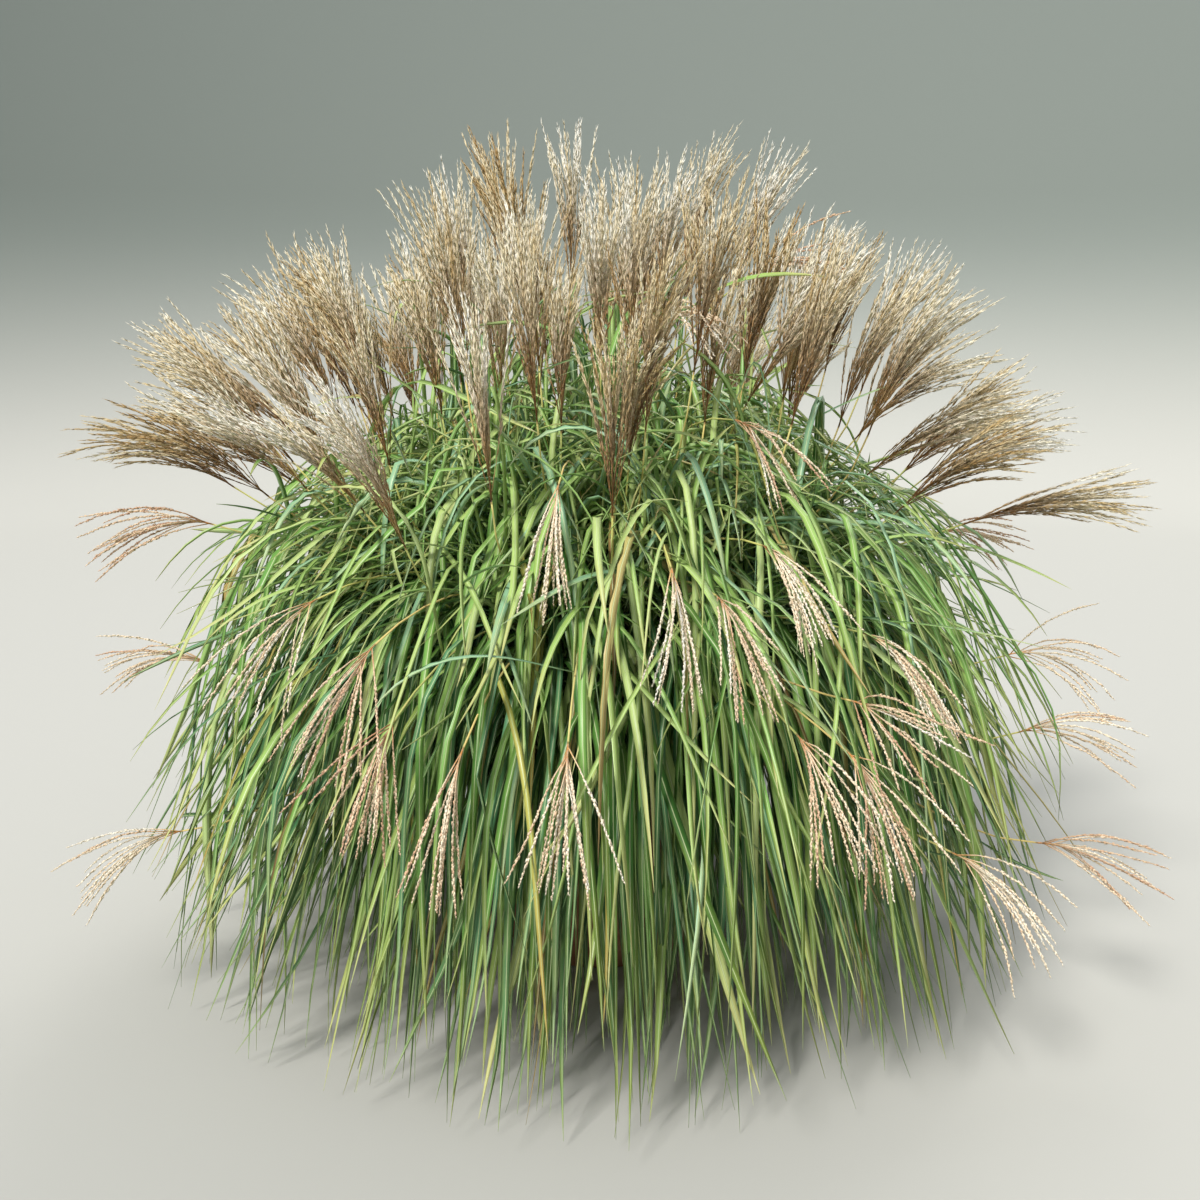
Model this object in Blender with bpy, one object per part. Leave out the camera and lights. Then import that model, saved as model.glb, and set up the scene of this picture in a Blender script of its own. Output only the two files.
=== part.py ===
"""Miscanthus grass in flower, growing as a fountain-shaped clump in a plain clay tub.

Metres, +Z up. The origin is the centre of the tub's foot, on the surface it stands on.
Every leaf tuft and flowering stem lies in its own upright plane through the Z axis, so it
is drawn as a curve of (distance from the axis, height) and turned to its azimuth.
"""
import math

import bmesh
import bpy
from mathutils import Vector

# The tub.
POT_HEIGHT = 0.42
FOOT_RADIUS = 0.215
BODY_TOP_RADIUS = 0.288
RIM_RADIUS = 0.30
RIM_BAND_HEIGHT = 0.055
POT_WALL = 0.020
POT_FLOOR = 0.026
EDGE_ROUND = 0.006
POT_SEGMENTS = 40
DRAIN_HOLES = 4
DRAIN_RADIUS = 0.011
DRAIN_CIRCLE = 0.105

# Soil and the crowded stem bases that stand on it.
SOIL_BELOW_RIM = 0.025
SOIL_TOP = POT_HEIGHT - SOIL_BELOW_RIM
CROWN_RADIUS = 0.205
CROWN_TOP = 0.47
GROUND_SEGMENTS = 32

# Touching pieces keep this much air between them.
GAP = 0.0003

# Leaf tufts: (distance, height) of the top of the arch and of the hanging tips.
TUFT_PAIRS = 8
FIRST_TALL_AZIMUTH = -80
TALL_ARCH = (0.56, 0.88)
TALL_TIP = (0.88, 0.12)
LOW_ARCH = (0.46, 0.62)
LOW_TIP = (0.76, 0.02)
TUFT_BASE_RADIUS = 0.172
TUFT_BASE_WIDTH = 0.030
TUFT_WIDTH = 0.11
TUFT_TIP_WIDTH = 0.035
TUFT_THICKNESS = 0.014
TUFT_STEPS_UP = 6
TUFT_STEPS_DOWN = 7

# Flowering stems.
CULM_BASE_RADIUS = 0.0024
CULM_TOP_RADIUS = 0.0018
CULM_STEPS = 8
CULM_SIDES = 5
PLUME_STEPS = 5
OPEN_PLUME_LENGTH = 0.36
OPEN_PLUME_RADIUS = 0.021
YOUNG_PLUME_LENGTH = 0.25
YOUNG_PLUME_RADIUS = 0.016
PLUME_TIP_RADIUS = 0.0015
NODDING_FROM = 95

# Plume base of each stem: azimuth in degrees, distance from the axis, height, and the
# plume's lean from upright in degrees. Past NODDING_FROM it is a young plume that hangs.
UPRIGHT_STEMS = [
    (-152, 0.22, 1.42, 8),
    (124, 0.12, 1.46, 4),
    (27, 0.22, 1.46, 14),
    (5, 0.28, 1.43, 23),
    (-49, 0.14, 1.34, 4),
    (-33, 0.35, 1.29, 20),
    (-9, 0.40, 1.25, 24),
    (155, 0.34, 1.38, 10),
    (-172, 0.50, 1.22, 16),
    (163, 0.58, 1.21, 24),
    (-108, 0.62, 1.09, 20),
    (-88, 0.62, 1.07, 10),
    (76, 0.50, 1.22, 22),
]
SWEPT_STEMS = [
    (-163, 0.66, 1.12, 46),
    (169, 0.70, 1.13, 52),
    (-177, 0.80, 1.05, 65),
    (-147, 0.62, 1.11, 34),
    (10, 0.60, 1.15, 34),
    (0, 0.56, 1.15, 50),
    (-19, 0.58, 1.09, 58),
    (15, 0.82, 1.02, 66),
    (-14, 0.78, 0.99, 78),
    (42, 0.62, 1.14, 40),
    (65, 0.80, 1.03, 62),
    (93, 0.74, 1.07, 56),
    (112, 0.64, 1.13, 42),
    (136, 0.80, 1.02, 64),
]
NODDING_STEMS = [
    (-97, 0.60, 1.12, 165),
    (-115, 0.88, 0.88, 155),
    (-104, 0.91, 0.73, 165),
    (-93, 0.95, 0.76, 168),
    (-70, 0.93, 0.75, 150),
    (-63, 0.91, 0.70, 150),
    (-53, 0.78, 0.86, 135),
    (-46, 0.92, 0.46, 140),
    (-57, 0.47, 1.22, 140),
    (-167, 0.83, 0.99, 115),
    (-159, 0.93, 0.37, 130),
    (-5, 0.90, 0.68, 112),
    (-24, 0.97, 0.37, 125),
    (175, 0.92, 0.62, 105),
]


def clear_scene():
    for obj in list(bpy.data.objects):
        bpy.data.objects.remove(obj, do_unlink=True)


def plain_material(name, color, roughness):
    material = bpy.data.materials.new(name)
    material.use_nodes = True
    shader = material.node_tree.nodes["Principled BSDF"]
    shader.inputs["Base Color"].default_value = (*color, 1.0)
    shader.inputs["Roughness"].default_value = roughness
    shader.inputs["Metallic"].default_value = 0.0
    return material


def finished_object(name, bm, material, sharp_degrees):
    """One smooth-shaded object from a closed bmesh."""
    bmesh.ops.recalc_face_normals(bm, faces=bm.faces)
    mesh = bpy.data.meshes.new(name)
    bm.to_mesh(mesh)
    bm.free()
    mesh.shade_smooth()
    mesh.set_sharp_from_angle(angle=math.radians(sharp_degrees))
    mesh.materials.append(material)
    obj = bpy.data.objects.new(name, mesh)
    bpy.context.scene.collection.objects.link(obj)
    return obj


def turned(profile, segments):
    """A closed body turned about Z from (radius, height) points that end on the axis."""
    bm = bmesh.new()
    verts = [bm.verts.new((radius, 0.0, height)) for radius, height in profile]
    edges = [bm.edges.new(pair) for pair in zip(verts, verts[1:])]
    bmesh.ops.spin(
        bm, geom=verts + edges, cent=(0, 0, 0), axis=(0, 0, 1), angle=math.tau, steps=segments
    )
    bmesh.ops.remove_doubles(bm, verts=bm.verts, dist=0.00001)
    return bm


def rounded(corner, before, after, radius, steps=2):
    """Points of a small arc that rounds a profile's corner between its neighbours."""
    corner = Vector(corner)
    start = corner + (Vector(before) - corner).normalized() * radius
    end = corner + (Vector(after) - corner).normalized() * radius
    points = []
    for step in range(steps + 1):
        t = step / steps
        point = start * (1 - t) ** 2 + corner * (2 * t * (1 - t)) + end * t ** 2
        points.append(tuple(point))
    return points


def body_radius(height):
    """Outside radius of the tub's tapered side, under its rim band."""
    return FOOT_RADIUS + (BODY_TOP_RADIUS - FOOT_RADIUS) * height / POT_HEIGHT


def inner_radius(height):
    return body_radius(height) - POT_WALL


def make_pot(material):
    band_foot = POT_HEIGHT - RIM_BAND_HEIGHT
    corners = [
        (0.0, 0.0),
        (FOOT_RADIUS, 0.0),
        (body_radius(band_foot), band_foot),
        (RIM_RADIUS, band_foot),
        (RIM_RADIUS, POT_HEIGHT),
        (inner_radius(POT_HEIGHT), POT_HEIGHT),
        (inner_radius(POT_FLOOR), POT_FLOOR),
        (0.0, POT_FLOOR),
    ]
    sharp = (2, 6)
    profile = [corners[0]]
    for index in range(1, len(corners) - 1):
        if index in sharp:
            profile.append(corners[index])
            continue
        neighbours = corners[index - 1], corners[index + 1]
        profile += rounded(corners[index], *neighbours, EDGE_ROUND)
    profile.append(corners[-1])
    pot = finished_object("pot", turned(profile, POT_SEGMENTS), material, 35)
    for index in range(DRAIN_HOLES):
        angle = math.tau * (index + 0.5) / DRAIN_HOLES
        place = (DRAIN_CIRCLE * math.cos(angle), DRAIN_CIRCLE * math.sin(angle), POT_FLOOR / 2)
        bpy.ops.mesh.primitive_cylinder_add(
            vertices=12, radius=DRAIN_RADIUS, depth=POT_FLOOR * 2, location=place
        )
        cutter = bpy.context.object
        cutter.name = f"drain_cutter_{index + 1}"
        cutter.hide_render = True
        cutter.display_type = "WIRE"
        hole = pot.modifiers.new(f"drain_{index + 1}", "BOOLEAN")
        hole.operation = "DIFFERENCE"
        hole.solver = "EXACT"
        hole.object = cutter


def make_soil(material):
    low = POT_FLOOR + GAP
    profile = [
        (0.0, low),
        (inner_radius(low) - 2 * GAP, low),
        (inner_radius(SOIL_TOP) - 2 * GAP, SOIL_TOP),
        (0.0, SOIL_TOP),
    ]
    finished_object("soil", turned(profile, POT_SEGMENTS), material, 35)


def make_crown(material):
    low = SOIL_TOP + GAP
    profile = [
        (0.0, low),
        (CROWN_RADIUS - 0.008, low),
        (CROWN_RADIUS, low + 0.022),
        (CROWN_RADIUS - 0.004, CROWN_TOP - 0.018),
        (CROWN_RADIUS - 0.018, CROWN_TOP),
        (0.0, CROWN_TOP),
    ]
    finished_object("crown", turned(profile, GROUND_SEGMENTS), material, 50)


def bezier(p0, p1, p2, p3, steps):
    """Points along a cubic curve in the (distance, height) plane, both ends included."""
    points = []
    for step in range(steps + 1):
        t = step / steps
        s = 1 - t
        point = p0 * s ** 3 + p1 * (3 * s * s * t) + p2 * (3 * s * t * t) + p3 * t ** 3
        points.append(point)
    return points


def lean_direction(degrees):
    """Unit vector in the (distance, height) plane, leaning out from upright."""
    angle = math.radians(degrees)
    return Vector((math.sin(angle), math.cos(angle)))


def stem_route(reach, height, lean):
    """The culm from the crown to the plume's base, then the plume to its tip."""
    nodding = lean > NODDING_FROM
    foot = Vector((0.03 + 0.11 * min(reach, 1.0), CROWN_TOP + GAP))
    knuckle = Vector((reach, height))
    span = (knuckle - foot).length
    droop = 45 if nodding else 12
    arrive = lean_direction(lean - droop)
    start_handle = foot + Vector((0.0, span * 0.48))
    end_handle = knuckle - arrive * span * 0.36
    culm = bezier(foot, start_handle, end_handle, knuckle, CULM_STEPS)
    length = YOUNG_PLUME_LENGTH if nodding else OPEN_PLUME_LENGTH
    tip = knuckle + lean_direction(lean) * length
    bend_start = knuckle + arrive * length * 0.35
    bend_end = tip - lean_direction(lean + droop * 0.5) * length * 0.35
    plume = bezier(knuckle, bend_start, bend_end, tip, PLUME_STEPS)
    return culm, plume


def ring(point, tangent, azimuth, outline):
    """An outline of (across, through) offsets set square to a route in its azimuth plane."""
    angle = math.radians(azimuth)
    out = Vector((math.cos(angle), math.sin(angle), 0.0))
    across = Vector((-math.sin(angle), math.cos(angle), 0.0))
    through = Vector((0, 0, 1)) * -tangent.x + out * tangent.y
    centre = out * point.x + Vector((0, 0, point.y))
    return [centre + across * a + through * b for a, b in outline]


def lofted(rings):
    """A closed body through rings that all have the same number of corners."""
    bm = bmesh.new()
    loops = [[bm.verts.new(corner) for corner in loop] for loop in rings]
    count = len(loops[0])
    for loop, following in zip(loops, loops[1:]):
        for i in range(count):
            j = (i + 1) % count
            bm.faces.new((loop[i], loop[j], following[j], following[i]))
    bm.faces.new(loops[0][::-1])
    bm.faces.new(loops[-1])
    return bm


def round_outline(radius):
    corners = [math.tau * i / CULM_SIDES for i in range(CULM_SIDES)]
    return [(radius * math.cos(c), radius * math.sin(c)) for c in corners]


def blade_outline(width, thickness):
    """A flattened six-sided section, widest across the tuft."""
    half = width / 2
    back = thickness / 2
    return [(half, 0), (half * 0.5, back), (-half * 0.5, back),
            (-half, 0), (-half * 0.5, -back), (half * 0.5, -back)]


def tangents(points):
    """Unit direction at each point of a route; it leaves the crown straight up."""
    result = [Vector((0.0, 1.0))]
    for before, after in zip(points, points[2:]):
        result.append((after - before).normalized())
    result.append((points[-1] - points[-2]).normalized())
    return result


def plume_swell(t):
    """How full the plume is along its length, 0 at both ends."""
    return math.sin(math.pi * t ** 0.8) ** 0.8


def make_stem(name, azimuth, reach, height, lean, material):
    culm, plume = stem_route(reach, height, lean)
    full = YOUNG_PLUME_RADIUS if lean > NODDING_FROM else OPEN_PLUME_RADIUS
    radii = []
    for step in range(CULM_STEPS + 1):
        t = step / CULM_STEPS
        radii.append(CULM_BASE_RADIUS + (CULM_TOP_RADIUS - CULM_BASE_RADIUS) * t)
    for step in range(1, PLUME_STEPS):
        radii.append(CULM_TOP_RADIUS + full * plume_swell(step / PLUME_STEPS))
    radii.append(PLUME_TIP_RADIUS)
    route = culm + plume[1:]
    rings = []
    for point, tangent, radius in zip(route, tangents(route), radii):
        rings.append(ring(point, tangent, azimuth, round_outline(radius)))
    finished_object(name, lofted(rings), material, 60)


def tuft_route(arch, tip):
    foot = Vector((TUFT_BASE_RADIUS, CROWN_TOP + GAP))
    arch = Vector(arch)
    tip = Vector(tip)
    rise = arch.y - foot.y
    run = arch.x - foot.x
    upward = foot + Vector((run * 0.30, rise * 0.55))
    level = arch - Vector((run * 0.50, 0.0))
    rising = bezier(foot, upward, level, arch, TUFT_STEPS_UP)
    outward = arch + Vector((run * 0.55, 0.0))
    falling = tip + Vector((-0.03, (arch.y - tip.y) * 0.5))
    return rising + bezier(arch, outward, falling, tip, TUFT_STEPS_DOWN)[1:]


def make_tuft(name, azimuth, arch, tip, material):
    route = tuft_route(arch, tip)
    last = len(route) - 1
    rings = []
    for index, (point, tangent) in enumerate(zip(route, tangents(route))):
        t = index / last
        spread = math.sin(math.pi * min(t * 1.15, 1.0) ** 0.9) ** 0.7
        ends = TUFT_BASE_WIDTH + (TUFT_TIP_WIDTH - TUFT_BASE_WIDTH) * t
        width = ends + (TUFT_WIDTH - ends) * spread
        rings.append(ring(point, tangent, azimuth, blade_outline(width, TUFT_THICKNESS)))
    finished_object(name, lofted(rings), material, 60)


def make_tufts(material):
    step = 360 / TUFT_PAIRS
    for index in range(TUFT_PAIRS):
        tall_azimuth = FIRST_TALL_AZIMUTH + index * step
        low_azimuth = tall_azimuth + step / 2
        make_tuft(f"tall_leaf_tuft_{index + 1:02d}", tall_azimuth, TALL_ARCH, TALL_TIP, material)
        make_tuft(f"low_leaf_tuft_{index + 1:02d}", low_azimuth, LOW_ARCH, LOW_TIP, material)


def make_stems(kind, rows, material):
    for index, (azimuth, reach, height, lean) in enumerate(rows):
        make_stem(f"{kind}_stem_{index + 1:02d}", azimuth, reach, height, lean, material)


def main():
    clear_scene()
    clay = plain_material("clay", (0.50, 0.23, 0.13), 0.85)
    earth = plain_material("earth", (0.07, 0.045, 0.03), 0.95)
    straw = plain_material("stem_bases", (0.36, 0.30, 0.14), 0.8)
    leaf = plain_material("leaf", (0.13, 0.26, 0.07), 0.5)
    open_plume = plain_material("open_plume", (0.56, 0.44, 0.31), 0.7)
    young_plume = plain_material("young_plume", (0.70, 0.50, 0.36), 0.7)
    make_pot(clay)
    make_soil(earth)
    make_crown(straw)
    make_tufts(leaf)
    make_stems("upright", UPRIGHT_STEMS, open_plume)
    make_stems("swept", SWEPT_STEMS, open_plume)
    make_stems("nodding", NODDING_STEMS, young_plume)


main()
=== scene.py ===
"""The finish of a miscanthus clump in flower: its separate leaves, feathery plumes, bark mulch and
weathered clay tub. Metres, +Z up; the tub stands on the floor at the origin and -Y is the front."""

import math

import bpy
import numpy as np
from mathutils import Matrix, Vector


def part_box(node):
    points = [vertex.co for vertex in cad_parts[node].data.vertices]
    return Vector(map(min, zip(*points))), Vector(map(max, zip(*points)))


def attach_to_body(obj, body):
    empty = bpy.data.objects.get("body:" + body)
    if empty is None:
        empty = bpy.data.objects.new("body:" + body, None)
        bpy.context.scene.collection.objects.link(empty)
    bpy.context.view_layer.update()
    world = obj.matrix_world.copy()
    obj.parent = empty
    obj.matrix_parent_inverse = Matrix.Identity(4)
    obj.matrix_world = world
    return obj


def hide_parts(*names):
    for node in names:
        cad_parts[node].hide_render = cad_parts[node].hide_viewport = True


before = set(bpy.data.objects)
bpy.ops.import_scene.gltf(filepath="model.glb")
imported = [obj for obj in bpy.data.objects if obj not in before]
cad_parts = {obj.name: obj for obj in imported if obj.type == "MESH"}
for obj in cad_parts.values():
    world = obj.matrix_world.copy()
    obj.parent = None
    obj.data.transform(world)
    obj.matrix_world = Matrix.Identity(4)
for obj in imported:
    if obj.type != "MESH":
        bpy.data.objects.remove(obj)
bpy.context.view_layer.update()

CROWN_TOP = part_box("crown")[1][2]
CROWN_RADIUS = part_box("crown")[1][0]
SOIL_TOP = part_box("soil")[1][2]
RIM_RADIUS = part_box("pot")[1][0]
RIM_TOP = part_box("pot")[1][2]
RIM_WALL = 0.033
MOUTH_RADIUS = RIM_RADIUS - RIM_WALL

# Things that grow in a spiral turn by this much from one to the next.
GOLDEN_DEGREES = 137.508
GOLDEN_RADIANS = 2.39996

# Flowering stems. Each row is azimuth in degrees, then distance from the axis, height and lean
# from upright of the plume's base. Past NODDING_FROM degrees it is a young plume that hangs.
NODDING_FROM = 95
UPRIGHT_STEMS = [
    (-152, 0.22, 1.42, 8), (124, 0.12, 1.46, 4), (27, 0.22, 1.46, 14),
    (5, 0.28, 1.43, 23), (-49, 0.14, 1.34, 4), (-33, 0.35, 1.29, 20),
    (-9, 0.40, 1.25, 24), (155, 0.34, 1.38, 10), (-172, 0.50, 1.22, 16),
    (163, 0.58, 1.21, 24), (-108, 0.62, 1.09, 20), (-88, 0.62, 1.07, 10),
    (76, 0.50, 1.22, 22),
]
SWEPT_STEMS = [
    (-163, 0.66, 1.12, 46), (169, 0.70, 1.13, 52), (-177, 0.80, 1.05, 65),
    (-147, 0.62, 1.11, 34), (10, 0.60, 1.15, 34), (0, 0.56, 1.15, 50),
    (-19, 0.58, 1.09, 58), (15, 0.82, 1.02, 66), (-14, 0.78, 0.99, 78),
    (42, 0.62, 1.14, 40), (65, 0.80, 1.03, 62), (93, 0.74, 1.07, 56),
    (112, 0.64, 1.13, 42), (136, 0.80, 1.02, 64),
]
NODDING_STEMS = [
    (-97, 0.60, 1.12, 165), (-115, 0.88, 0.88, 155), (-104, 0.91, 0.73, 165),
    (-93, 0.95, 0.76, 168), (-70, 0.93, 0.75, 150), (-63, 0.91, 0.70, 150),
    (-53, 0.78, 0.86, 135), (-46, 0.92, 0.46, 140), (-57, 0.47, 1.22, 140),
    (-167, 0.83, 0.99, 115), (-159, 0.93, 0.37, 130), (-5, 0.90, 0.68, 112),
    (-24, 0.97, 0.37, 125), (175, 0.92, 0.62, 105),
]
# More stems of the same kinds, too many to be solids of their own.
EXTRA_OPEN_STEMS = [
    (-123, 0.36, 1.24, 5), (-100, 0.42, 1.20, 3), (-179, 0.36, 1.26, 12),
    (21, 0.56, 1.29, 22), (-117, 0.74, 1.02, 38), (-84, 0.50, 1.14, 38),
    (-44, 0.40, 1.24, 45), (-167, 0.60, 1.14, 36), (-157, 0.72, 1.06, 58),
    (175, 0.76, 1.09, 60), (4, 0.68, 1.07, 58), (-172, 0.70, 1.14, 44),
    (-151, 0.66, 1.08, 50), (-160, 0.56, 1.20, 30), (-174, 0.66, 1.06, 62),
    (168, 0.60, 1.19, 40), (-136, 0.62, 1.05, 48), (-10, 0.66, 1.10, 46),
    (7, 0.74, 1.05, 60), (-26, 0.66, 1.03, 56),
]
EXTRA_NODDING_STEMS = [
    (-81, 0.76, 1.00, 165), (-111, 0.93, 0.77, 162), (-60, 0.86, 0.77, 128),
    (-66, 0.30, 1.40, 108), (-75, 0.76, 0.95, 138), (-66, 0.70, 1.02, 138),
    (-14, 0.92, 0.55, 106), (-129, 0.80, 0.92, 150), (18, 0.86, 0.90, 118),
    (-8, 0.32, 1.50, 99),
]
CROWD_STEMS = 45
BACK_NODDING_STEMS = 12
OPEN_PLUME_LENGTH = 0.36
YOUNG_PLUME_LENGTH = 0.25
CULM_BASE_RADIUS = 0.0024
CULM_TOP_RADIUS = 0.0018
CULM_STATIONS = 13
PLUME_STATIONS = 25
AXIS_STATIONS = 6
AXIS_TIP_RADIUS = 0.0008
FINGER_STATIONS = 7
# Plumes and leaves are eased back over the last of the clump's depth, front and back.
DEPTH_FROM = 0.98
DEPTH_TO = 1.085
# How each kind of plume grows: fingers set up the axis as far as attach_to, their splay in
# degrees and how it varies, how uneven they are, how they follow the axis and sag, and the
# slivers on them, of which one_tone wear their finger's own tone. A plume keeps to tones round
# one place in the range of ripeness.
OPEN_HABIT = {
    "fingers": (26, 34), "attach_to": 0.40, "uneven": 0.34, "spread": 19, "relax": 0.50, "sag": 0.10,
    "vary": (0.8, 1.25), "rib": 0.0010, "spacing": 0.0068, "size": 0.0240, "width": 0.0034,
    "flare": 9, "bare": 0.02, "one_tone": 0.86, "ripeness": (1.5, 11.0),
}
YOUNG_HABIT = {
    "fingers": (10, 16), "attach_to": 0.22, "uneven": 0.22, "spread": 27, "relax": 0.55, "sag": 0.70,
    "vary": (0.7, 1.9), "rib": 0.0014, "spacing": 0.0038, "size": 0.0100, "width": 0.0048,
    "flare": 15, "bare": 0.05, "one_tone": 0.55, "ripeness": (2.0, 7.0),
}

# Leafy shoots and their blades. The lean is in degrees, and each share is of the blades.
SHOOTS = 300
BLADES_PER_SHOOT = 9
SHOOT_LEAN = 52
CROSSING_SHARE = 0.38
STIFF_SHARE = 0.04
SKIRT_BLADES = 370
BROAD_SHARE = 0.035
LOOSE_SHARE = 0.18
KINKED_SHARE = 0.12
STEM_BLADES = 3
BLADE_STATIONS = 13
FINE_STATIONS = 72
SHOOT_STATIONS = 7
SHOOT_BASE_RADIUS = 0.0032
SHOOT_TOP_RADIUS = 0.0016
TAPER_FROM = 0.45
TAPER_POWER = 3.4
TIP_SHARE = 0.03
BROAD_FROM = 0.0195
# The leaves' domed outline: how far from the axis they reach at each height. Near the floor the
# clump is shallower from front to back than it is wide.
DOME_HEIGHTS = (0.0, 0.25, 0.55, 0.75, 0.92, 1.06, 1.18, 1.30)
DOME_REACH = (1.00, 1.02, 1.03, 0.97, 0.86, 0.70, 0.48, 0.20)
SHALLOWER_BY = 0.13
SHALLOWER_BELOW = 0.6
# The leaf pieces stand for the CAD tufts: tall and low by turns, round from the first tall one.
TUFT_PAIRS = 8
FIRST_TALL_AZIMUTH = -80

# What lies on the tub's soil.
STEM_BASES = 170
BARK_CHIPS = 420

# The studio. The camera's tilt is in degrees and its lens in millimetres.
FLOOR_RADIUS = 7.0
COVE_RADIUS = 2.5
COVE_STEPS = 10
BACKDROP_HEIGHT = 7.0
CAMERA_PLACE = (0.0, -2.9, 1.4)
CAMERA_TILT_DOWN = 11.9
CAMERA_LENS = 39.5
CAMERA_SENSOR = 36

# Each blade, culm and finger wears one strip of its finish: across it is U, along it is V.
STRIPS = 16


def unit(vectors):
    length = np.linalg.norm(vectors, axis=-1, keepdims=True)
    return vectors / np.maximum(length, 1e-9)


def smooth(t):
    t = np.clip(t, 0.0, 1.0)
    return t * t * (3 - 2 * t)


def deselect():
    for obj in bpy.context.selected_objects:
        obj.select_set(False)


def blank_from_active():
    """Takes the shape just modelled as arrays of points and triangles, and clears it away."""
    obj = bpy.context.object
    mesh = obj.data
    mesh.calc_loop_triangles()
    points = np.array([v.co for v in mesh.vertices])
    triangles = np.array([list(t.vertices) for t in mesh.loop_triangles])
    bpy.data.objects.remove(obj, do_unlink=True)
    return points, triangles


def rod_blank(sides, stations):
    """A closed rod of unit length along Z, with its rings evenly spaced."""
    deselect()
    bpy.ops.mesh.primitive_cylinder_add(
        vertices=sides, radius=1, depth=1, end_fill_type="NGON", location=(0, 0, 0.5)
    )
    bpy.ops.object.transform_apply(location=True, rotation=False, scale=False)
    rod = bpy.context.object
    bpy.ops.object.mode_set(mode="EDIT")
    bpy.ops.mesh.select_mode(type="EDGE")
    bpy.ops.mesh.select_all(action="DESELECT")
    bpy.ops.object.mode_set(mode="OBJECT")
    for edge in rod.data.edges:
        low, high = (rod.data.vertices[i].co.z for i in edge.vertices)
        edge.select = abs(high - low) > 0.5
    bpy.ops.object.mode_set(mode="EDIT")
    bpy.ops.mesh.subdivide(number_cuts=stations - 2)
    bpy.ops.object.mode_set(mode="OBJECT")
    return blank_from_active()


def sliver_blank():
    """A closed three-sided spike of unit length along Z: one hairy spikelet."""
    deselect()
    bpy.ops.mesh.primitive_cone_add(
        vertices=3, radius1=1, depth=1, end_fill_type="NGON", location=(0, 0, 0.5)
    )
    bpy.ops.object.transform_apply(location=True, rotation=False, scale=False)
    sliver = bpy.context.object
    low = [v for v in sliver.data.vertices if v.co.z < 0.5]
    for vertex, height in zip(low, (0.0, 0.22, 0.34)):
        vertex.co.z = height
    return blank_from_active()


def copies_part(points, triangles, u, v):
    """One part from the points of many copies of a blank, its triangles and their U and V."""
    faces = triangles[None] + (np.arange(len(points)) * points.shape[1])[:, None, None]
    uv = np.stack([np.broadcast_to(u, faces.shape), np.broadcast_to(v, faces.shape)], axis=-1)
    return points.reshape(-1, 3), faces.reshape(-1, 3), uv.reshape(-1, 3, 2)


def joined_part(parts):
    """One part from many. A part is points, triangles and the UV of each triangle's corners."""
    points, triangles, uv = zip(*parts)
    offsets = np.cumsum([0] + [len(group) for group in points[:-1]])
    triangles = [group + base for group, base in zip(triangles, offsets)]
    return np.concatenate(points), np.concatenate(triangles), np.concatenate(uv)


def joined_mesh(name, parts, material):
    """A new object whose mesh is all the parts."""
    mesh = bpy.data.meshes.new(name)
    points, triangles, uv = joined_part(parts)
    mesh.vertices.add(len(points))
    mesh.vertices.foreach_set("co", points.astype(np.float32).ravel())
    mesh.loops.add(triangles.size)
    mesh.loops.foreach_set("vertex_index", triangles.astype(np.int32).ravel())
    mesh.polygons.add(len(triangles))
    mesh.polygons.foreach_set("loop_start", np.arange(0, triangles.size, 3, dtype=np.int32))
    for map_name in ("strip", "OFBake"):
        layer = mesh.uv_layers.new(name=map_name)
        layer.data.foreach_set("uv", uv.astype(np.float32).ravel())
    mesh.update(calc_edges=True)
    mesh.validate()
    mesh.shade_smooth()
    mesh.materials.append(material)
    obj = bpy.data.objects.new(name, mesh)
    bpy.context.scene.collection.objects.link(obj)
    return obj


# ---------------- finishes


def colour(red, green, blue):
    """Display values from 0 to 255 as the linear colour that a shader takes."""
    linear = [(c / 255 / 12.92) if c <= 10 else ((c / 255 + 0.055) / 1.055) ** 2.4
              for c in (red, green, blue)]
    return (*linear, 1.0)


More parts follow.
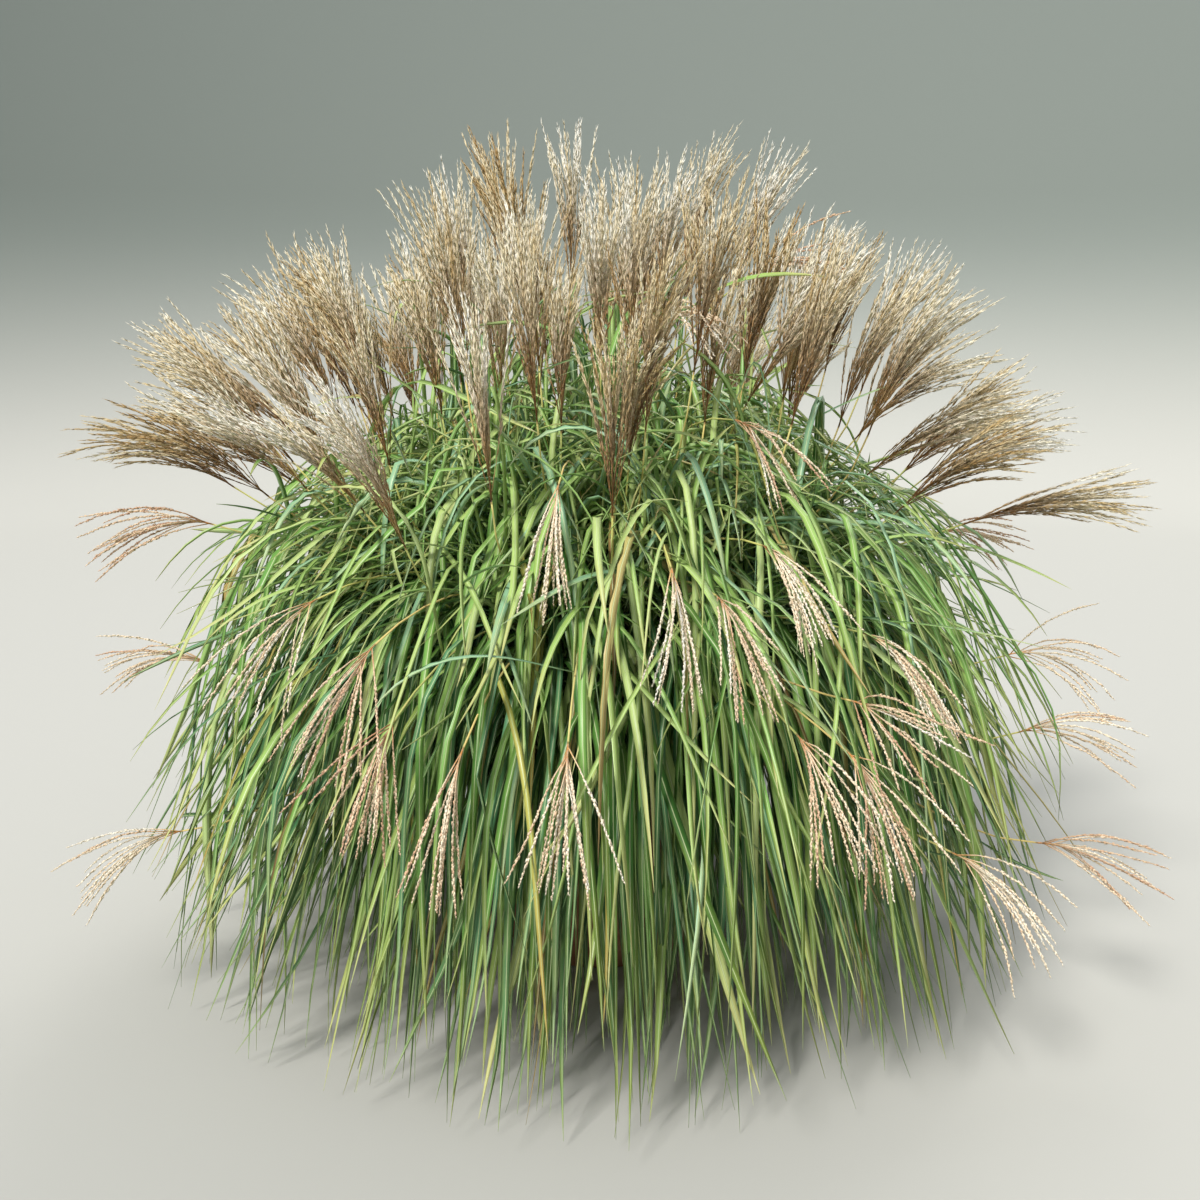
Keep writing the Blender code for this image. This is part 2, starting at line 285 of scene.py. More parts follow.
class Nodes:
    """A new material's node tree, with short calls for the nodes that the finishes use."""

    def __init__(self, name, roughness, specular=0.5):
        self.material = bpy.data.materials.new(name)
        self.material.use_nodes = True
        self.tree = self.material.node_tree
        self.shader = self.tree.nodes["Principled BSDF"]
        self.shader.inputs["Roughness"].default_value = roughness
        self.shader.inputs["Specular IOR Level"].default_value = specular

    def node(self, kind):
        return self.tree.nodes.new("ShaderNode" + kind)

    def put(self, value, socket):
        if isinstance(value, bpy.types.NodeSocket):
            self.tree.links.new(value, socket)
        else:
            socket.default_value = value

    def math(self, operation, a, b=0.0):
        node = self.node("Math")
        node.operation = operation
        self.put(a, node.inputs[0])
        self.put(b, node.inputs[1])
        return node.outputs[0]

    def times(self, a, b):
        return self.math("MULTIPLY", a, b)

    def ease(self, value, low, high, start=0.0, end=1.0):
        node = self.node("MapRange")
        node.interpolation_type = "SMOOTHSTEP"
        for index, item in enumerate((value, low, high, start, end)):
            self.put(item, node.inputs[index])
        return node.outputs[0]

    def mix(self, factor, a, b):
        node = self.node("Mix")
        node.data_type = "RGBA"
        self.put(factor, node.inputs[0])
        self.put(a, node.inputs[6])
        self.put(b, node.inputs[7])
        return node.outputs[2]

    def steps(self, position, colours):
        """A flat colour for each strip."""
        node = self.node("ValToRGB")
        ramp = node.color_ramp
        ramp.interpolation = "CONSTANT"
        while len(ramp.elements) < len(colours):
            ramp.elements.new(1.0)
        for index, value in enumerate(colours):
            ramp.elements[index].position = index / len(colours)
            ramp.elements[index].color = value
        self.put(position, node.inputs[0])
        return node.outputs[0]

    def split(self, vector):
        node = self.node("SeparateXYZ")
        self.put(vector, node.inputs[0])
        return node.outputs

    def uv(self):
        node = self.node("UVMap")
        node.uv_map = "strip"
        return self.split(node.outputs[0])[:2]

    def streaks(self, across, along, strip, wide, tall, scale):
        """Noise drawn out along a blade or finger, different on each strip."""
        place = self.vector(self.times(across, wide), self.times(along, tall), strip)
        return self.noise(place, scale)

    def place(self):
        return self.node("TexCoord").outputs["Object"]

    def vector(self, x, y, z):
        node = self.node("CombineXYZ")
        for value, socket in zip((x, y, z), node.inputs):
            self.put(value, socket)
        return node.outputs[0]

    def noise(self, vector, scale, detail=2.0, roughness=0.5):
        node = self.node("TexNoise")
        self.put(vector, node.inputs["Vector"])
        node.inputs["Scale"].default_value = scale
        node.inputs["Detail"].default_value = detail
        node.inputs["Roughness"].default_value = roughness
        return node.outputs["Fac"]

    def cells(self, vector, scale):
        node = self.node("TexVoronoi")
        self.put(vector, node.inputs["Vector"])
        node.inputs["Scale"].default_value = scale
        return node.outputs["Distance"]

    def bump(self, height, strength, distance):
        node = self.node("Bump")
        node.inputs["Strength"].default_value = strength
        node.inputs["Distance"].default_value = distance
        self.put(height, node.inputs["Height"])
        self.tree.links.new(node.outputs[0], self.shader.inputs["Normal"])

    def finish(self, base, roughness=None):
        self.put(base, self.shader.inputs["Base Color"])
        if roughness is not None:
            self.put(roughness, self.shader.inputs["Roughness"])
        return self.material


# Blade strips and the tip that each fades to: twelve greens, two of straw, a dead brown one and
# the shoots' own.
BLADE_TONES = [
    ((60, 108, 68), (118, 144, 84)), ((78, 132, 88), (142, 164, 100)),
    ((98, 154, 110), (160, 182, 124)), ((64, 114, 46), (124, 138, 64)),
    ((82, 134, 58), (144, 156, 76)), ((112, 166, 78), (172, 178, 100)),
    ((132, 182, 92), (188, 190, 114)), ((150, 194, 102), (198, 196, 122)),
    ((168, 206, 112), (208, 202, 128)), ((184, 214, 124), (216, 208, 138)),
    ((200, 222, 142), (224, 214, 146)), ((152, 198, 158), (200, 214, 160)),
    ((204, 198, 104), (210, 164, 90)), ((210, 190, 122), (190, 144, 90)),
    ((146, 110, 66), (118, 86, 54)), ((96, 128, 54), (152, 140, 72)),
]
GREEN_STRIPS = 12
STRAW_STRIP = 12
PALE_STRAW_STRIP = 13
BROWN_STRIP = 14
SHOOT_STRIP = 15


def blade_finish():
    """Satin leaf: pale midrib, fine veins, a tip that fades and a duller underside, with painted shade
    in the fold beside the midrib and a painted highlight along the edges.
    """
    n = Nodes("leaf_blade", 0.45)
    u, along = n.uv()
    strips = n.times(u, STRIPS)
    across = n.math("FRACT", n.times(n.math("FRACT", strips), 2.0))
    under = n.math("GREATER_THAN", n.math("FRACT", strips), 0.5)
    strip = n.math("FLOOR", strips)
    body = n.steps(u, [colour(*tone[0]) for tone in BLADE_TONES])
    tip = n.steps(u, [colour(*tone[1]) for tone in BLADE_TONES])
    patches = n.streaks(across, along, strip, 0.6, 9.0, 1.4)
    fade = n.ease(n.math("ADD", along, n.times(patches, 0.35)), 0.82, 1.22)
    base = n.mix(fade, body, tip)
    base = n.mix(n.ease(patches, 0.35, 0.75, 0.0, 0.30), base, colour(160, 184, 76))
    veins = n.streaks(across, along, strip, 26.0, 2.0, 1.0)
    base = n.mix(n.ease(veins, 0.35, 0.65, 0.0, 0.20), base, colour(44, 76, 30))
    base = n.mix(n.times(under, 0.25), base, colour(130, 160, 124))
    off_centre = n.math("ABSOLUTE", n.math("SUBTRACT", across, 0.5))
    # Painted shade: a dark band in the fold on each side of the midrib, where the folded blade shades
    # itself.
    fold_shade = n.ease(off_centre, 0.06, 0.12, 0.34, 0.0)
    base = n.mix(fold_shade, base, colour(40, 76, 30))
    midrib = n.ease(off_centre, 0.035, 0.060, 0.75, 0.0)
    base = n.mix(midrib, base, colour(210, 222, 168))
    # Painted highlight: the blade's edges are paler, standing in for light catching them.
    base = n.mix(n.ease(off_centre, 0.42, 0.50, 0.0, 0.25), base, colour(206, 214, 150))
    base = n.mix(n.ease(along, 0.0, 0.06, 0.55, 0.0), base, colour(196, 200, 140))
    n.bump(n.math("SUBTRACT", veins, n.times(midrib, 0.8)), 0.35, 0.0006)
    return n.finish(base, n.ease(patches, 0.2, 0.8, 0.32, 0.48))


# Plume strips from dark to pale: colour near the plume's base, and at its silky ends.
OPEN_TONES = [
    ((88, 54, 22), (178, 146, 94)), ((100, 62, 26), (194, 166, 114)),
    ((110, 70, 30), (208, 184, 136)), ((120, 80, 36), (218, 196, 150)),
    ((128, 86, 40), (226, 208, 166)), ((136, 94, 46), (232, 216, 178)),
    ((144, 102, 52), (238, 224, 190)), ((152, 110, 58), (242, 230, 200)),
    ((162, 120, 66), (245, 236, 210)), ((172, 132, 78), (248, 242, 220)),
    ((184, 146, 92), (252, 247, 230)), ((196, 162, 110), (254, 251, 240)),
]
YOUNG_TONES = [
    ((196, 130, 74), (216, 176, 146)), ((200, 132, 72), (226, 190, 156)),
    ((206, 140, 76), (236, 206, 174)), ((210, 142, 70), (240, 214, 182)),
    ((216, 154, 78), (244, 220, 190)), ((216, 148, 76), (246, 226, 198)),
    ((224, 156, 72), (250, 232, 204)), ((222, 162, 84), (250, 234, 208)),
    ((230, 168, 84), (254, 242, 220)), ((234, 182, 104), (254, 242, 220)),
    ((234, 180, 100), (255, 248, 232)), ((236, 188, 110), (255, 250, 238)),
]
CULM_TONES = [
    ((156, 178, 84), (200, 198, 112)), ((176, 192, 98), (214, 204, 126)),
    ((188, 186, 106), (220, 198, 124)), ((138, 164, 78), (182, 188, 108)),
]
CULM_STRIP = 12
AXIS_STRIP = 2


def stem_finish(name, plume_tones, fade_from, fade_to, streak_tone):
    """Silky plume in its strips, with the last four strips for the jointed green culm."""
    n = Nodes(name, 0.62, specular=0.35)
    n.shader.inputs["Sheen Weight"].default_value = 0.28
    n.shader.inputs["Sheen Tint"].default_value = colour(255, 242, 214)
    n.shader.inputs["Sheen Roughness"].default_value = 0.4
    u, along = n.uv()
    tones = plume_tones + CULM_TONES
    base_colour = n.steps(u, [colour(*tone[0]) for tone in tones])
    end_colour = n.steps(u, [colour(*tone[1]) for tone in tones])
    strip = n.math("FLOOR", n.times(u, STRIPS))
    is_culm = n.math("GREATER_THAN", u, (CULM_STRIP - 0.01) / STRIPS)
    speckle = n.streaks(u, along, strip, 90.0, 34.0, 1.0)
    fade = n.ease(n.math("ADD", along, n.times(speckle, 0.30)), fade_from, fade_to)
    base = n.mix(fade, base_colour, end_colour)
    joint = n.math("FRACT", n.times(along, 6.0))
    ring = n.times(n.ease(joint, 0.955, 0.985), is_culm)
    base = n.mix(n.times(ring, 0.75), base, colour(116, 84, 44))
    base = n.mix(n.ease(speckle, 0.44, 0.70, 0.0, 0.25), base, streak_tone)
    return n.finish(base)


def clay_finish():
    """Fired clay: turned rings, mottling, lime bloom under the rim and a damp, dirty foot."""
    n = Nodes("weathered_clay", 0.85, specular=0.3)
    place = n.place()
    height = n.split(place)[2]
    mottle = n.noise(place, 14.0, 5.0, 0.6)
    grain = n.noise(place, 420.0, 3.0, 0.6)
    base = n.mix(n.ease(mottle, 0.35, 0.7), colour(148, 98, 72), colour(172, 122, 92))
    bloom = n.noise(place, 7.0, 6.0, 0.7)
    bloom = n.times(n.ease(bloom, 0.50, 0.70), n.ease(height, 0.10, 0.34, 0.25, 0.75))
    base = n.mix(bloom, base, colour(214, 196, 176))
    damp = n.ease(n.math("ADD", height, n.times(mottle, 0.10)), 0.05, 0.16, 0.55, 0.0)
    base = n.mix(damp, base, colour(104, 74, 52))
    base = n.mix(n.ease(grain, 0.56, 0.72, 0.0, 0.35), base, colour(122, 72, 50))
    rings = n.math("SINE", n.times(height, 900.0))
    relief = n.math("ADD", n.times(rings, 0.25), n.math("ADD", grain, mottle))
    n.bump(relief, 0.35, 0.0012)
    return n.finish(base, n.ease(bloom, 0.0, 0.6, 0.78, 0.92))


def earth_finish():
    """Damp bark compost: dark crumbs with paler fibres."""
    n = Nodes("bark_compost", 0.95, specular=0.2)
    place = n.place()
    crumbs = n.cells(place, 150.0)
    clods = n.noise(place, 46.0, 5.0, 0.7)
    base = n.mix(n.ease(clods, 0.35, 0.7), colour(46, 34, 26), colour(92, 68, 48))
    base = n.mix(n.ease(crumbs, 0.45, 0.75, 0.0, 0.5), base, colour(128, 102, 76))
    n.bump(n.math("ADD", crumbs, clods), 0.8, 0.004)
    return n.finish(base)


def crown_finish():
    """Dry matted sheaths round the stem bases."""
    n = Nodes("matted_stem_bases", 0.85, specular=0.25)
    place = n.place()
    stretch = n.node("Mapping")
    stretch.inputs["Scale"].default_value = (1.0, 1.0, 0.15)
    n.tree.links.new(place, stretch.inputs[0])
    fibres = n.noise(stretch.outputs[0], 240.0, 4.0, 0.6)
    patches = n.noise(place, 30.0, 3.0)
    base = n.mix(n.ease(fibres, 0.35, 0.7), colour(92, 72, 44), colour(178, 152, 100))
    base = n.mix(n.ease(patches, 0.5, 0.7, 0.0, 0.6), base, colour(112, 120, 58))
    n.bump(fibres, 0.7, 0.002)
    return n.finish(base)


def chip_finish():
    """Weathered bark chips, each in one of the strips."""
    n = Nodes("bark_chip", 0.9, specular=0.25)
    u, _ = n.uv()
    shades = [(122, 92, 66), (150, 122, 94), (98, 72, 52), (172, 148, 122), (134, 100, 72),
              (186, 168, 146), (110, 82, 60), (160, 130, 100)]
    base = n.steps(u, [colour(*shade) for shade in shades + shades[::-1]])
    place = n.place()
    grain = n.noise(place, 300.0, 3.0, 0.6)
    base = n.mix(n.ease(grain, 0.4, 0.65, 0.0, 0.45), base, colour(70, 52, 38))
    n.bump(grain, 0.6, 0.001)
    return n.finish(base)


# ---------------- leaves


def around(azimuth, radius, height):
    """Points from azimuth in radians, distance from the axis and height."""
    x, y = radius * np.cos(azimuth), radius * np.sin(azimuth)
    return np.stack(np.broadcast_arrays(x, y, height), axis=-1)


def leaning(azimuth, lean):
    """Unit vectors from azimuth and lean from upright, both in radians."""
    return around(azimuth, np.sin(lean), np.cos(lean))


def make_shoots(rng):
    """Leafy shoots that fan out from the crown, steep in the middle and low at the edge."""
    order = np.arange(SHOOTS)
    spread = np.sqrt((order + 0.5) / SHOOTS)
    azimuth = np.radians(order * GOLDEN_DEGREES) + rng.normal(0, 0.10, SHOOTS)
    lean = np.radians(SHOOT_LEAN * spread + rng.normal(0, 5, SHOOTS))
    length = 0.61 - 0.13 * spread + rng.normal(0, 0.06, SHOOTS)
    foot = around(azimuth, (CROWN_RADIUS - 0.03) * spread, CROWN_TOP)
    return {"azimuth": azimuth, "lean": lean, "length": length, "foot": foot, "spread": spread}


def shoot_points(shoots, fraction):
    """Where each shoot is, at a fraction of its length. It bends outwards as it rises."""
    steps = 10
    point = shoots["foot"].copy()
    for step in range(steps):
        t = (step + 0.5) / steps * fraction
        lean = shoots["lean"] * (0.55 + 0.75 * t)
        point += leaning(shoots["azimuth"], lean) * (shoots["length"] * fraction / steps)[:, None]
    return point


def make_blades(rng, shoots):
    """The blades of every shoot, as arrays with one entry for each blade."""
    groups = []
    spread = shoots["spread"]

    def between(low, high):
        return rng.uniform(low, high, SHOOTS)

    for node in range(BLADES_PER_SHOOT):
        fraction = 0.22 + 0.80 * node / (BLADES_PER_SHOOT - 1)
        fraction = np.clip(fraction + rng.normal(0, 0.03, SHOOTS), 0.15, 1.02)
        side = 1 if node % 2 else -1
        turn = side * between(5, 80) + rng.normal(0, 24, SHOOTS)
        crossing = rng.random(SHOOTS) < CROSSING_SHARE * smooth(fraction * 2.5)
        turn = np.where(crossing, side * between(55, 150), turn)
        turn = np.where(spread < 0.35, between(-180, 180), turn)
        lean = shoots["lean"] * (0.55 + 0.75 * fraction) * np.cos(np.radians(turn))
        lean += np.radians(between(12, 34) + crossing * between(0, 25))
        top = fraction > 0.85
        length = np.where(top, between(0.50, 1.00), between(0.92, 1.65))
        final = np.where(top, between(105, 170), between(138, 178))
        bend_to = between(0.42, 1.02)
        length = np.where(crossing, between(0.50, 1.05), length)
        final = np.where(crossing, between(95, 170), final)
        bend_to = np.where(crossing, between(0.50, 0.95), bend_to)
        stiff = rng.random(SHOOTS) < STIFF_SHARE
        length = np.where(stiff, between(0.35, 0.60), length)
        final = np.where(stiff, between(30, 95), final)
        width = np.clip(rng.normal(0.0128, 0.0032, SHOOTS), 0.006, 0.019) * (1.24 - 0.48 * fraction)
        width = np.where(stiff, width * 0.6, width)
        broad = (rng.random(SHOOTS) < BROAD_SHARE) & ~stiff
        groups.append({
            "start": shoot_points(shoots, fraction),
            "azimuth": shoots["azimuth"] + np.radians(turn),
            "drift": np.radians(rng.normal(0, 20, SHOOTS)),
            "lean": np.maximum(lean, np.radians(4)),
            "final": np.radians(final),
            "bend_from": between(0.0, 0.16),
            "bend_to": bend_to,
            "length": length,
            "width": np.where(broad, between(0.020, 0.026), width),
            "home": shoots["azimuth"],
            "kept_in": np.where(rng.random(SHOOTS) < LOOSE_SHARE, between(1.04, 1.13), 1.0),
        })
    return groups


def make_skirt_blades(rng):
    """Old low blades that spill over the rim and hide the tub."""
    azimuth = rng.uniform(0, math.tau, SKIRT_BLADES)
    foot = (CROWN_RADIUS - 0.02) * np.sqrt(rng.uniform(0.6, 1.0, SKIRT_BLADES))
    return [{
        "start": around(azimuth, foot, CROWN_TOP),
        "azimuth": azimuth + np.radians(rng.normal(0, 18, SKIRT_BLADES)),
        "drift": np.radians(rng.normal(0, 25, SKIRT_BLADES)),
        "lean": np.radians(rng.uniform(14, 46, SKIRT_BLADES)),
        "final": np.radians(rng.uniform(155, 178, SKIRT_BLADES)),
        "bend_from": rng.uniform(0.02, 0.12, SKIRT_BLADES),
        "bend_to": rng.uniform(0.34, 0.62, SKIRT_BLADES),
        "length": rng.uniform(0.85, 1.25, SKIRT_BLADES),
        "width": rng.uniform(0.010, 0.018, SKIRT_BLADES),
        "home": azimuth,
        "kept_in": np.ones(SKIRT_BLADES),
    }]


def make_stem_blades(rng, rows):
    """Narrow blades on the flowering stems, above the leafy shoots."""
    groups = []
    for azimuth, reach, height, lean in rows:
        culm, _ = stem_route(azimuth, reach, height, lean)
        count = STEM_BLADES
        start, way = along_line(culm, rng.uniform(0.48, 0.84, count))
        turn = rng.uniform(-180, 180, count)
        own_lean = np.arccos(np.clip(way[:, 2], -1, 1))
        groups.append({
            "start": start,
            "azimuth": np.radians(azimuth + turn),
            "drift": np.radians(rng.normal(0, 20, count)),
            "lean": np.maximum(own_lean * np.cos(np.radians(turn)) + np.radians(20), np.radians(6)),
            "final": np.radians(rng.uniform(60, 160, count)),
            "bend_from": rng.uniform(0.0, 0.10, count),
            "bend_to": rng.uniform(0.30, 0.60, count),
            "length": rng.uniform(0.26, 0.52, count),
            "width": rng.uniform(0.007, 0.012, count),
            "home": np.full(count, math.radians(azimuth)),
            "kept_in": np.zeros(count),
        })
    return groups


def drawn_in(line, kept_in):
    """Pulls each line's sideways reach in until it stays inside the clump's domed outline. A
    line's kept_in is 0 where it goes free, and over 1 by as much as it may pass the outline."""
    radius = np.hypot(line[..., 0], line[..., 1])
    facing = np.abs(line[..., 1]) / np.maximum(radius, 0.01)
    allowed = np.interp(line[..., 2], DOME_HEIGHTS, DOME_REACH)
    allowed -= SHALLOWER_BY * facing * smooth(1 - line[..., 2] / SHALLOWER_BELOW)
    allowed *= np.maximum(kept_in, 1.0)[:, None]
    start = np.hypot(line[:, :1, 0], line[:, :1, 1])
    over = np.max((radius - start) / np.maximum(allowed - start, 0.02), axis=1)
    scale = np.where(kept_in > 0.5, 1 / np.maximum(over, 1.0), 1.0)
    drawn = line.copy()
    drawn[..., :2] = line[:, :1, :2] + (line[..., :2] - line[:, :1, :2]) * scale[:, None, None]
    return drawn


def blade_midribs(rng, blades):
    """The line of each blade: it arches over under its own weight and stops at floor or tub."""
    count = len(blades["length"])
    length, upright, final, bend_from, bend_to, heading, drift = (
        blades[key][:, None]
        for key in ("length", "lean", "final", "bend_from", "bend_to", "azimuth", "drift")
    )
    along = np.linspace(0, 1, FINE_STATIONS)[None] * length
    lean = upright + (final - upright) * smooth((along - bend_from) / (bend_to - bend_from))
    kinked = rng.random((count, 1)) < KINKED_SHARE
    kink_at = np.where(kinked, rng.uniform(0.35, 0.75, (count, 1)), 9.0) * length
    fold_over = smooth((along - kink_at) / 0.03 + 0.5)
    lean += fold_over * np.radians(rng.uniform(35, 95, (count, 1))) * (lean < 1.9)
    wave = np.sin(along * rng.uniform(5, 11, (count, 1)) + rng.uniform(0, 6, (count, 1)))
    azimuth = heading + drift * along / length
    direction = leaning(azimuth + 0.10 * wave, lean + 0.09 * wave)
    steps = (direction[:, 1:] + direction[:, :-1]) / 2 * (length / (FINE_STATIONS - 1))[..., None]
    line = np.concatenate([np.zeros((count, 1, 3)), np.cumsum(steps, axis=1)], axis=1)
    line += blades["start"][:, None]
    line = held_in(drawn_in(line, blades["kept_in"]))
    radius = np.hypot(line[..., 0], line[..., 1])
    tip_height = 0.016 + rng.exponential(0.045, count)
    stopped = line[..., 2] < tip_height[:, None]
    stopped |= (radius < RIM_RADIUS + 0.012) & (line[..., 2] < RIM_TOP + 0.008)
    first = np.where(stopped.any(axis=1), stopped.argmax(axis=1), FINE_STATIONS - 1)
    return line, np.maximum(first, 8)


def resampled(line, last, stations):
    """Each line cut at its last point and read again at evenly spaced stations."""
    position = np.linspace(0, 1, stations)[None] * last[:, None]
    low = np.minimum(position.astype(int), line.shape[1] - 2)
    part = (position - low)[..., None]
    rows = np.arange(len(line))[:, None]
    return line[rows, low] * (1 - part) + line[rows, low + 1] * part


def frames_along(points, azimuth, twist):
    """Across and upper-face vectors at each station of each line."""
    tangent = unit(np.gradient(points, axis=1))
    level = np.stack([-np.sin(azimuth), np.cos(azimuth), np.zeros_like(azimuth)], axis=-1)
    level = np.broadcast_to(level[:, None], points.shape)
    across = unit(level - tangent * np.sum(level * tangent, axis=-1, keepdims=True))
    upper = np.cross(tangent, across)
    cosine, sine = np.cos(twist[..., None]), np.sin(twist[..., None])
    return across * cosine + upper * sine, upper * cosine - across * sine


def blade_outline(along):
    """Blade width along its length: a short neck, a long body and a drawn-out tip."""
    neck = 0.55 + 0.45 * smooth(along / 0.12)
    taper = 1 - np.clip((along - TAPER_FROM) / (1 - TAPER_FROM), 0, 1) ** TAPER_POWER
    return neck * np.maximum(taper, TIP_SHARE)


def strip_corners(strip, across, under):
    """U of a face corner from its strip, place across the blade and which face it is on."""
    inset = 0.02 + 0.96 * across
    return (strip + (inset + under) / 2) / STRIPS


def blade_parts(blank, points, azimuth, width, strip, twist, fold):
    """Bends a copy of the four-sided blank along each midrib and gives it its strip."""
    shape, faces = blank
    stations = points.shape[1]
    station = np.rint(shape[:, 2] * (stations - 1)).astype(int)
    order = np.linspace(0, 1, stations)
    across, upper = frames_along(points, azimuth, twist[:, None] * order[None] ** 1.5)
    half = width[:, None] / 2 * blade_outline(order)[None]
    side = shape[:, 0]
    keel = (shape[:, 1] < -0.5) * 1.0
    here = points[:, station]
    wide = half[:, station, None]
    lift = np.abs(side)[None, :, None] * fold[:, None, None] * wide
    drop = keel[None, :, None] * (0.0005 + wide * 0.07)
    shaped = here + across[:, station] * side[None, :, None] * wide + upper[:, station] * (lift - drop)
    shaped[..., 2] = np.maximum(shaped[..., 2], 0.002)
    face_under = (np.mean(shape[faces][..., 1], axis=1) < -0.1) * 1.0
    corner_across = (side[faces] + 1) / 2
    corner_along = shape[faces][..., 2]
    u = strip_corners(strip[:, None, None], corner_across[None], face_under[None, :, None])
    return copies_part(shaped, faces, u, 0.005 + 0.99 * corner_along)


def tube_part(blank, points, radii, strip, low_v, high_v):
    """Bends a copy of a rod blank along one line: a shoot, culm, finger or stem base."""
    shape, faces = blank
    stations = len(points)
    station = np.rint(shape[:, 2] * (stations - 1)).astype(int)
    tangent = unit(np.gradient(points, axis=0))
    guide = np.array([0.0, 0.0, 1.0]) if abs(tangent[:, 2]).mean() < 0.8 else np.array([0.3, 1.0, 0.0])
    across = unit(np.cross(tangent, guide))
    other = np.cross(tangent, across)
    offset = across[station] * shape[:, :1] + other[station] * shape[:, 1:2]
    shaped = points[station] + offset * radii[station][:, None]
    v = low_v + (high_v - low_v) * shape[faces][..., 2]
    return shaped, faces, np.stack([np.full_like(v, (strip + 0.25) / STRIPS), v], axis=-1)


# ---------------- flowering stems


def curve_points(p0, p1, p2, p3, steps):
    t = np.linspace(0, 1, steps)[:, None]
    s = 1 - t
    return p0 * s ** 3 + p1 * 3 * s * s * t + p2 * 3 * s * t * t + p3 * t ** 3


def lean_direction(degrees):
    return np.array([math.sin(math.radians(degrees)), math.cos(math.radians(degrees))])


def stem_route(azimuth, reach, height, lean, plume_scale=1.0):
    """The culm from the crown to the plume's base and the plume's own line, in space."""
    nodding = lean > NODDING_FROM
    foot = np.array([0.03 + 0.11 * min(reach, 1.0), CROWN_TOP])
    knuckle = np.array([reach, height])
    span = np.linalg.norm(knuckle - foot)
    droop = 45 if nodding else 12
    arrive = lean_direction(lean - droop)
    culm = curve_points(
        foot,
        foot + np.array([0.0, span * 0.48]),
        knuckle - arrive * span * 0.36,
        knuckle,
        CULM_STATIONS,
    )
    length = (YOUNG_PLUME_LENGTH if nodding else OPEN_PLUME_LENGTH) * plume_scale
    tip = knuckle + lean_direction(lean) * length
    plume = curve_points(
        knuckle,
        knuckle + arrive * length * 0.35,
        tip - lean_direction(lean + droop * 0.5) * length * 0.35,
        tip,
        PLUME_STATIONS,
    )
    angle = math.radians(azimuth)
    return around(angle, *culm.T), around(angle, *plume.T)


def along_line(points, fraction):
    """Point and direction of a line at fractions of its length."""
    position = np.clip(fraction, 0, 1) * (len(points) - 1)
    low = np.minimum(position.astype(int), len(points) - 2)
    part = (position - low)[:, None]
    return points[low] * (1 - part) + points[low + 1] * part, unit(points[low + 1] - points[low])


def square_to(direction, angle):
    """Unit vectors square to each direction, turned about it by each angle."""
    guide = np.where(np.abs(direction[:, 2:]) < 0.9, [[0.0, 0.0, 1.0]], [[1.0, 0.0, 0.0]])
    first = unit(np.cross(direction, guide))
    second = np.cross(direction, first)
    return first * np.cos(angle)[:, None] + second * np.sin(angle)[:, None]


def held_in(points):
    """Eases points back where they would pass the clump's depth, front or back."""
    depth = points[..., 1]
    past = np.maximum(np.abs(depth) - DEPTH_FROM, 0)
    eased = (DEPTH_TO - DEPTH_FROM) * (1 - np.exp(-past / (DEPTH_TO - DEPTH_FROM)))
    held = points.copy()
    held[..., 1] = np.sign(depth) * (np.minimum(np.abs(depth), DEPTH_FROM) + eased)
    return held


def fingers(rng, plume, habit):
    """Lines of a plume's separate fingers, which leave its axis one above the other."""
    count = int(rng.integers(*habit["fingers"]))
    order = (np.arange(count) + 0.5) / count
    attach = np.clip(habit["attach_to"] * order + rng.normal(0, 0.01, count), 0, 0.9)
    start, direction = along_line(plume, attach)
    outward = square_to(direction, np.arange(count) * GOLDEN_RADIANS + rng.normal(0, 0.4, count))
    spread = habit["spread"] * rng.uniform(*habit["vary"])
    splay = np.radians(spread * rng.uniform(0.25, 1.0, count) * (1 - 0.45 * order))
    heading = direction * np.cos(splay)[:, None] + outward * np.sin(splay)[:, None]
    whole = np.linalg.norm(plume[1:] - plume[:-1], axis=1).sum()
    length = whole * np.clip(1.04 - attach - rng.uniform(0, habit["uneven"], count), 0.3, 1.04)
    sideways = rng.normal(0, 0.15, 3) + plume[-1] * np.array([0.15, 0.15, 0.0])
    weight = habit["sag"] * rng.uniform(0.5, 1.6, (count, 1))
    points = np.empty((count, FINGER_STATIONS, 3))
    points[:, 0] = start
    for step in range(1, FINGER_STATIONS):
        t = step / (FINGER_STATIONS - 1)
        _, follow = along_line(plume, np.clip(attach + (1 - attach) * t, 0, 1))
        pull = follow * habit["relax"] * t - np.array([[0.0, 0.0, 1.0]]) * weight * t ** 1.5
        pull += sideways * t * t + outward * 0.22 * t ** 3 + rng.normal(0, 0.035, (count, 3))
        way = unit(heading + pull)
        points[:, step] = points[:, step - 1] + way * (length / (FINGER_STATIONS - 1))[:, None]
    return held_in(points), attach, length / whole


